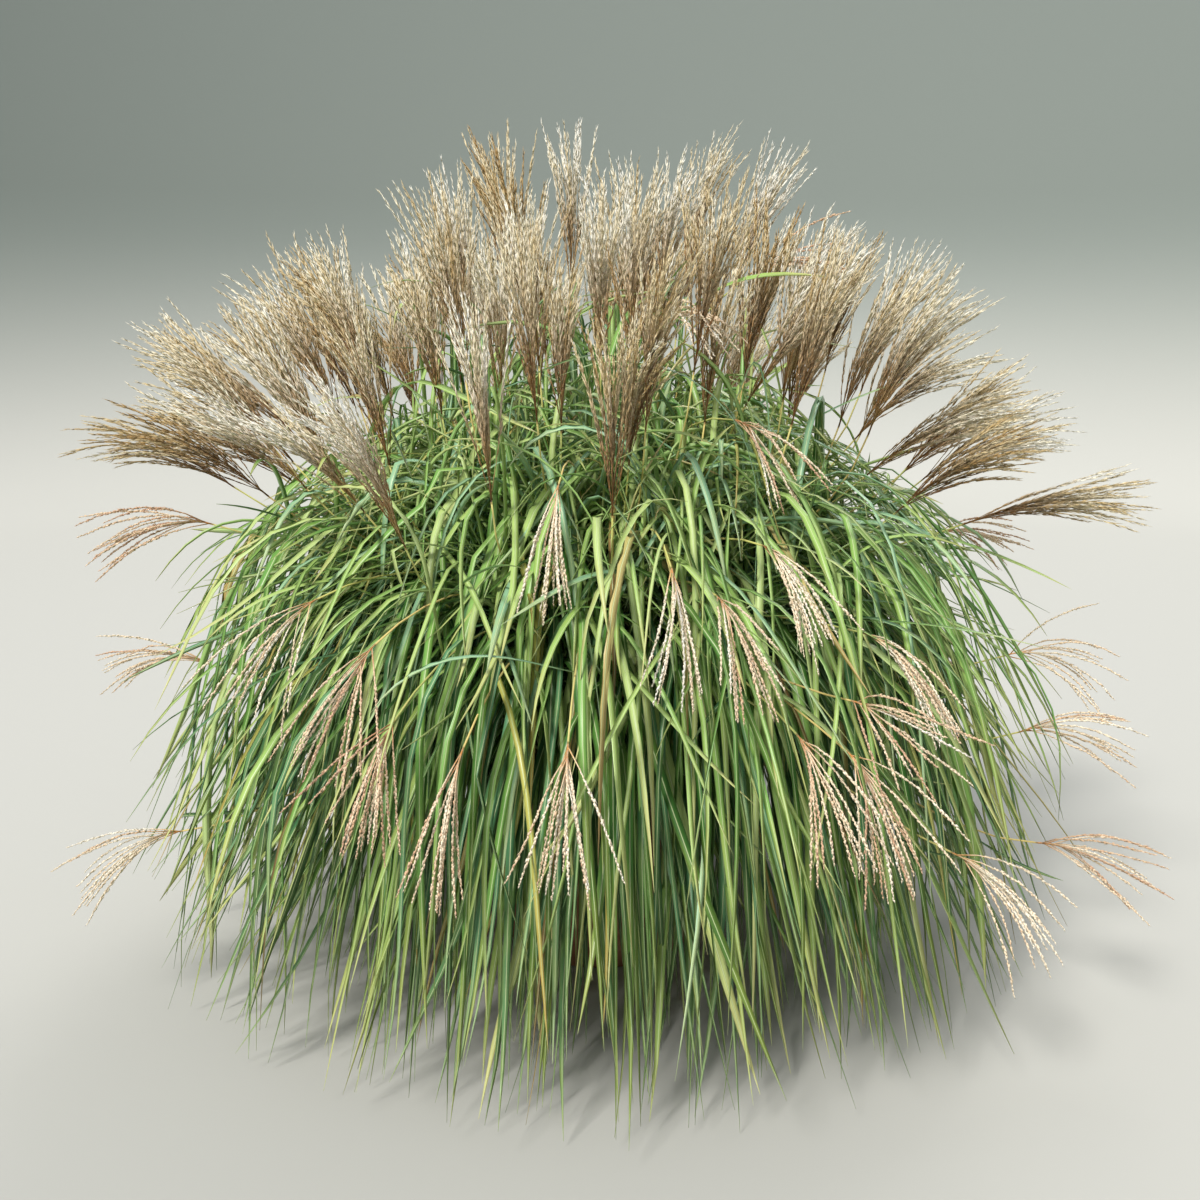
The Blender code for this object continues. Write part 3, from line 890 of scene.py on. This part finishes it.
def spikelets(rng, blank, lines, attach, share, tones, habit):
    """Slivers set round every finger, as one part."""
    shape, triangles = blank
    parts = []
    for line, base, part, tone in zip(lines, attach, share, tones):
        long = np.linalg.norm(line[1:] - line[:-1], axis=1).sum()
        count = max(int(long * 0.94 / habit["spacing"]), 2)
        fraction = np.clip(np.linspace(0.05, 1.0, count) + rng.normal(0, 0.25 / count, count), 0, 1)
        here, direction = along_line(line, fraction)
        outward = square_to(direction, np.arange(count) * 2.4 + rng.normal(0, 0.5, count))
        ripe = smooth((fraction - habit["bare"]) / 0.30)
        open_by = np.radians(habit["flare"] * rng.uniform(0.5, 1.4, count) * (0.35 + 0.65 * ripe))
        axis = unit(direction * np.cos(open_by)[:, None] + outward * np.sin(open_by)[:, None])
        first = square_to(axis, rng.uniform(0, math.tau, count))
        second = np.cross(axis, first)
        shrink = (0.45 + 0.55 * ripe) * (1 - 0.35 * smooth((fraction - 0.80) / 0.20))
        long_size = (habit["size"] * rng.uniform(0.75, 1.25, count) * shrink)[:, None, None]
        wide = (habit["width"] * rng.uniform(0.7, 1.3, count) * shrink)[:, None, None] / 2
        points = here[:, None] + axis[:, None] * shape[None, :, 2:] * long_size
        points += first[:, None] * shape[None, :, :1] * wide
        points += second[:, None] * shape[None, :, 1:2] * wide
        other = np.clip(tone + rng.integers(-3, 4, count), 0, CULM_STRIP - 1)
        strip = np.where(rng.random(count) < habit["one_tone"], tone, other)
        u = (strip[:, None, None] + 0.5) / STRIPS
        v = (base + part * fraction)[:, None, None]
        parts.append(copies_part(points, triangles, u, v))
    return joined_part(parts)


def flowering_stem(seed, blanks, azimuth, reach, height, lean, plume_scale=1.0):
    """The parts of one culm and its plume."""
    rng = np.random.default_rng(seed)
    habit = dict(YOUNG_HABIT if lean > NODDING_FROM else OPEN_HABIT)
    if lean <= NODDING_FROM:
        habit["sag"] += 0.40 * min(max(lean - 15, 0) / 60, 1.0)
    culm, plume = stem_route(azimuth, reach, height, lean, plume_scale)
    radii = np.linspace(CULM_BASE_RADIUS, CULM_TOP_RADIUS, len(culm))
    parts = [tube_part(blanks["culm"], culm, radii, CULM_STRIP + rng.integers(0, 4), 0.0, 1.0)]
    lines, attach, share = fingers(rng, plume, habit)
    axis_end = int(habit["attach_to"] * (len(plume) - 1)) + 2
    axis_points = resampled(plume[None, :axis_end], np.array([axis_end - 1]), AXIS_STATIONS)[0]
    axis_radii = np.linspace(CULM_TOP_RADIUS, AXIS_TIP_RADIUS, AXIS_STATIONS)
    parts.append(tube_part(blanks["axis"], axis_points, axis_radii, AXIS_STRIP, 0.0, 0.2))
    ripeness = rng.uniform(*habit["ripeness"])
    tones = np.rint(np.clip(rng.normal(ripeness, 2.2, len(lines)), 0, CULM_STRIP - 1)).astype(int)
    taper = habit["rib"] * np.linspace(1.0, 0.5, FINGER_STATIONS)
    for line, base, part, tone in zip(lines, attach, share, tones):
        parts.append(tube_part(blanks["finger"], line, taper, tone, base, base + part * 0.9))
    parts.append(spikelets(rng, blanks["sliver"], lines, attach, share, tones, habit))
    return parts


def crowd_rows(rng):
    """The close-set upright plumes over the middle and the back of the clump."""
    rows = []
    for index in range(CROWD_STEMS):
        spread = math.sqrt((index + 0.5) / CROWD_STEMS)
        reach = 0.05 + 0.56 * spread
        height = 1.44 - 0.42 * reach + rng.normal(0, 0.055)
        lean = 4 + 52 * reach ** 1.3 + rng.normal(0, 4)
        rows.append((40 + index * GOLDEN_DEGREES, reach, height, max(lean, 2)))
    return rows


def back_rows(rng):
    """Young nodding plumes round the sides and back."""
    rows = []
    for index in range(BACK_NODDING_STEMS):
        azimuth = 24 + 140 * (index + rng.uniform(0.2, 0.8)) / BACK_NODDING_STEMS
        reach = rng.uniform(0.70, 0.93)
        height = 1.28 - 0.70 * reach + rng.normal(0, 0.10)
        rows.append((azimuth, reach, height, rng.uniform(120, 165)))
    return rows


# ---------------- crown, mulch and stage


def stem_base_parts(rng, blank):
    """Old cut stem bases and sheaths that stand on the crown."""
    parts = []
    for index in range(STEM_BASES):
        spread = math.sqrt((index + 0.5) / STEM_BASES)
        radius = (CROWN_RADIUS - 0.012) * spread
        angle = index * GOLDEN_RADIANS
        foot = around(angle, radius, CROWN_TOP - 0.004)
        lean = math.radians(rng.uniform(0, 16) + 26 * spread)
        tall = rng.uniform(0.025, 0.10)
        t = np.linspace(0, 1, 5)[:, None]
        way = leaning(angle, lean)
        line = foot + way * tall * t + np.array([way[0], way[1], 0.0]) * 0.12 * tall * t ** 2
        thick = rng.uniform(0.0022, 0.0042)
        radii = thick * np.array([1.25, 1.1, 1.0, 0.95, 0.8])
        strip = int(rng.choice([10, 11, 12, 13, 13, 14, 15]))
        parts.append(tube_part(blank, line, radii, strip, 0.3, 0.9))
    return parts


def chip_blank():
    """One bark chip: a bevelled slab, thinner at one end."""
    deselect()
    bpy.ops.mesh.primitive_cube_add(size=1)
    chip = bpy.context.object
    chip.scale = (1.0, 0.55, 0.22)
    bpy.ops.object.transform_apply(location=False, rotation=False, scale=True)
    for vertex in chip.data.vertices:
        if vertex.co.x > 0:
            vertex.co.z *= 0.45
            vertex.co.y *= 0.7
    bpy.ops.object.mode_set(mode="EDIT")
    bpy.ops.mesh.select_all(action="SELECT")
    bpy.ops.mesh.bevel(offset=0.05, segments=1)
    bpy.ops.object.mode_set(mode="OBJECT")
    return blank_from_active()


def chip_part(rng, blank):
    """Bark mulch scattered on the soil between the crown and the tub's rim."""
    shape, triangles = blank
    count = BARK_CHIPS
    radius = np.sqrt(rng.uniform((CROWN_RADIUS - 0.012) ** 2, (MOUTH_RADIUS - 0.016) ** 2, count))
    angle = rng.uniform(0, math.tau, count)
    size = rng.uniform(0.010, 0.026, count)
    centre = around(angle, radius, SOIL_TOP + rng.uniform(0.001, 0.009, count))
    yaw = rng.uniform(0, math.tau, count)
    tilt = rng.normal(0, 0.25, (count, 2))
    along = unit(np.stack([np.cos(yaw), np.sin(yaw), tilt[:, 0]], axis=-1))
    up = unit(np.stack([tilt[:, 1], tilt[:, 0], np.ones(count)], axis=-1))
    across = unit(np.cross(up, along))
    up = np.cross(along, across)
    local = shape[None] * size[:, None, None] * rng.uniform(0.7, 1.3, (count, 1, 3))
    points = centre[:, None] + along[:, None] * local[..., :1]
    points = points + across[:, None] * local[..., 1:2] + up[:, None] * local[..., 2:]
    u = (rng.integers(0, STRIPS, count)[:, None, None] + 0.5) / STRIPS
    return copies_part(points, triangles, u, 0.5)


def make_stage():
    """A plain pale floor that curves up into a round backdrop, under an even sky."""
    deselect()
    bpy.ops.mesh.primitive_circle_add(
        vertices=96, radius=FLOOR_RADIUS, fill_type="NGON", location=(0, 0, -0.001)
    )
    floor = bpy.context.object
    floor.name = "floor"
    bpy.ops.object.mode_set(mode="EDIT")
    for step in range(COVE_STEPS):
        low, high = (math.pi / 2 * k / COVE_STEPS for k in (step, step + 1))
        rise = COVE_RADIUS * (math.cos(low) - math.cos(high))
        before = FLOOR_RADIUS + COVE_RADIUS * math.sin(low)
        after = FLOOR_RADIUS + COVE_RADIUS * math.sin(high)
        bpy.ops.mesh.extrude_edges_move()
        bpy.ops.transform.resize(value=(after / before, after / before, 1))
        bpy.ops.transform.translate(value=(0, 0, rise))
    bpy.ops.mesh.extrude_edges_move()
    bpy.ops.transform.translate(value=(0, 0, BACKDROP_HEIGHT - COVE_RADIUS))
    bpy.ops.object.mode_set(mode="OBJECT")
    floor.data.shade_smooth()
    floor.visible_shadow = False
    n = Nodes("pale_floor", 0.9, specular=0.2)
    rise = n.ease(n.split(n.place())[2], 0.0, 2.4)
    floor.data.materials.append(n.finish(n.mix(rise, colour(186, 185, 180), colour(132, 139, 134))))
    world = bpy.data.worlds.new("studio")
    world.use_nodes = True
    background = world.node_tree.nodes["Background"]
    background.inputs["Color"].default_value = colour(206, 212, 218)
    background.inputs["Strength"].default_value = 1.0
    bpy.context.scene.world = world
    bpy.context.scene.view_settings.view_transform = "Standard"


def make_sun(name, place, power, softness, tint):
    """Even light from one direction, soft at the edges of its shadows."""
    data = bpy.data.lights.new(name, "SUN")
    data.energy = power
    data.angle = math.radians(softness)
    data.color = tint
    light = bpy.data.objects.new(name, data)
    light.location = place
    light.rotation_euler = Vector(place).to_track_quat("Z", "Y").to_euler()
    bpy.context.scene.collection.objects.link(light)


def make_camera():
    data = bpy.data.cameras.new("camera")
    data.sensor_width = CAMERA_SENSOR
    data.lens = CAMERA_LENS
    camera = bpy.data.objects.new("camera", data)
    camera.location = CAMERA_PLACE
    camera.rotation_euler = (math.radians(90 - CAMERA_TILT_DOWN), 0.0, 0.0)
    bpy.context.scene.collection.objects.link(camera)
    bpy.context.scene.camera = camera


def set_material(node, material):
    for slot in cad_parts[node].material_slots:
        slot.material = material


# ---------------- building it


def declare(piece, slot, *nodes):
    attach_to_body(piece, "root")
    if nodes:
        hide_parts(*nodes)


def tuft_of(azimuth):
    """Which tuft each azimuth belongs to, counted round from the first tall one."""
    tufts = TUFT_PAIRS * 2
    return np.rint((np.degrees(azimuth) - FIRST_TALL_AZIMUTH) / (360 / tufts)).astype(int) % tufts


def make_leaves(blanks, leaf, stem_rows):
    rng = np.random.default_rng(11)
    shoots = make_shoots(rng)
    groups = make_blades(rng, shoots) + make_skirt_blades(rng) + make_stem_blades(rng, stem_rows)
    blades = {key: np.concatenate([group[key] for group in groups]) for key in groups[0]}
    line, last = blade_midribs(rng, blades)
    points = resampled(line, last, BLADE_STATIONS)
    count = len(points)
    mean_height = points[:, :, 2].mean(axis=1)
    # Random tone per blade, plus painted light: blades higher in the clump take paler greens and lower
    # ones darker, standing in for light from above and shade below.
    light = rng.normal(0.44, 0.25, count) + (mean_height - 0.68) * 1.5
    light = np.clip(1 - np.abs(1 - light), 0, 1)
    strip = np.floor(light * (GREEN_STRIPS - 0.01)).astype(int)
    odd = rng.random(count)
    strip = np.where(blades["width"] > BROAD_FROM, rng.integers(7, 11, count), strip)
    strip = np.where(odd < 0.045, STRAW_STRIP, strip)
    strip = np.where(odd < 0.025, PALE_STRAW_STRIP, strip)
    strip = np.where((odd < 0.012) & (blades["width"] < 0.011), BROWN_STRIP, strip)
    twist = rng.normal(0, 0.9, count)
    fold = rng.uniform(0.20, 0.65, count)
    blade_tuft = tuft_of(blades["home"])
    shoot_tuft = tuft_of(shoots["azimuth"])
    shoot_radii = np.linspace(SHOOT_BASE_RADIUS, SHOOT_TOP_RADIUS, SHOOT_STATIONS)
    for tuft in range(TUFT_PAIRS * 2):
        mine = np.flatnonzero(blade_tuft == tuft)
        looks = (blades["azimuth"], blades["width"], strip, twist, fold)
        parts = [blade_parts(blanks["blade"], points[mine], *(values[mine] for values in looks))]
        for shoot in np.flatnonzero(shoot_tuft == tuft):
            one = {key: value[shoot:shoot + 1] for key, value in shoots.items()}
            route = np.concatenate([shoot_points(one, f) for f in np.linspace(0, 1, SHOOT_STATIONS)])
            parts.append(tube_part(blanks["shoot"], route, shoot_radii, SHOOT_STRIP, 0, 0.5))
        kind = "low" if tuft % 2 else "tall"
        number = f"{tuft // 2 + 1:02d}"
        piece = joined_mesh(f"{kind}_leaves_{number}", parts, leaf)
        declare(piece, "leaf", f"{kind}_leaf_tuft_{number}")


def make_flowering_stems(blanks, open_plume, young_plume, open_rows, young_rows):
    seed = 100
    for kind, rows in (("upright", UPRIGHT_STEMS), ("swept", SWEPT_STEMS), ("nodding", NODDING_STEMS)):
        material = young_plume if kind == "nodding" else open_plume
        slot = "young_plume" if kind == "nodding" else "open_plume"
        for index, row in enumerate(rows):
            seed += 1
            parts = flowering_stem(seed, blanks, *row)
            piece = joined_mesh(f"{kind}_plume_{index + 1:02d}", parts, material)
            declare(piece, slot, f"{kind}_stem_{index + 1:02d}")
    rng = np.random.default_rng(6)
    groups = [
        ("open", open_rows, open_plume, "open_plume"),
        ("young", young_rows, young_plume, "young_plume"),
    ]
    for kind, rows, material, slot in groups:
        for index, row in enumerate(rows):
            seed += 1
            scale = rng.uniform(0.82, 1.05)
            parts = flowering_stem(seed, blanks, *row, plume_scale=scale)
            piece = joined_mesh(f"{kind}_plume_extra_{index + 1:02d}", parts, material)
            declare(piece, slot)


def main():
    blanks = {
        "blade": rod_blank(4, BLADE_STATIONS),
        "shoot": rod_blank(5, SHOOT_STATIONS),
        "culm": rod_blank(5, CULM_STATIONS),
        "axis": rod_blank(4, AXIS_STATIONS),
        "finger": rod_blank(3, FINGER_STATIONS),
        "stub": rod_blank(5, 5),
        "sliver": sliver_blank(),
    }
    leaf = blade_finish()
    open_plume = stem_finish("open_plume_silk", OPEN_TONES, 0.28, 0.92, colour(150, 108, 60))
    young_plume = stem_finish("young_plume_florets", YOUNG_TONES, 0.14, 0.42, colour(214, 170, 128))
    make_stage()
    make_camera()
    make_sun("key", (-2.1, -3.3, 4.3), 3.6, 14, (1.0, 0.98, 0.94))
    make_sun("rim", (1.6, 3.6, 3.4), 1.0, 24, (1.0, 0.98, 0.95))
    rng = np.random.default_rng(5)
    open_rows = EXTRA_OPEN_STEMS + crowd_rows(rng)
    young_rows = EXTRA_NODDING_STEMS + back_rows(rng)
    stem_rows = UPRIGHT_STEMS + SWEPT_STEMS + NODDING_STEMS + open_rows + young_rows
    make_leaves(blanks, leaf, stem_rows)
    make_flowering_stems(blanks, open_plume, young_plume, open_rows, young_rows)
    rng = np.random.default_rng(3)
    stubs = joined_mesh("old_stem_bases", stem_base_parts(rng, blanks["stub"]), leaf)
    declare(stubs, "stem_bases")
    chips = joined_mesh("bark_chips", [chip_part(rng, chip_blank())], chip_finish())
    declare(chips, "earth")
    set_material("pot", clay_finish())
    set_material("soil", earth_finish())
    set_material("crown", crown_finish())


main()
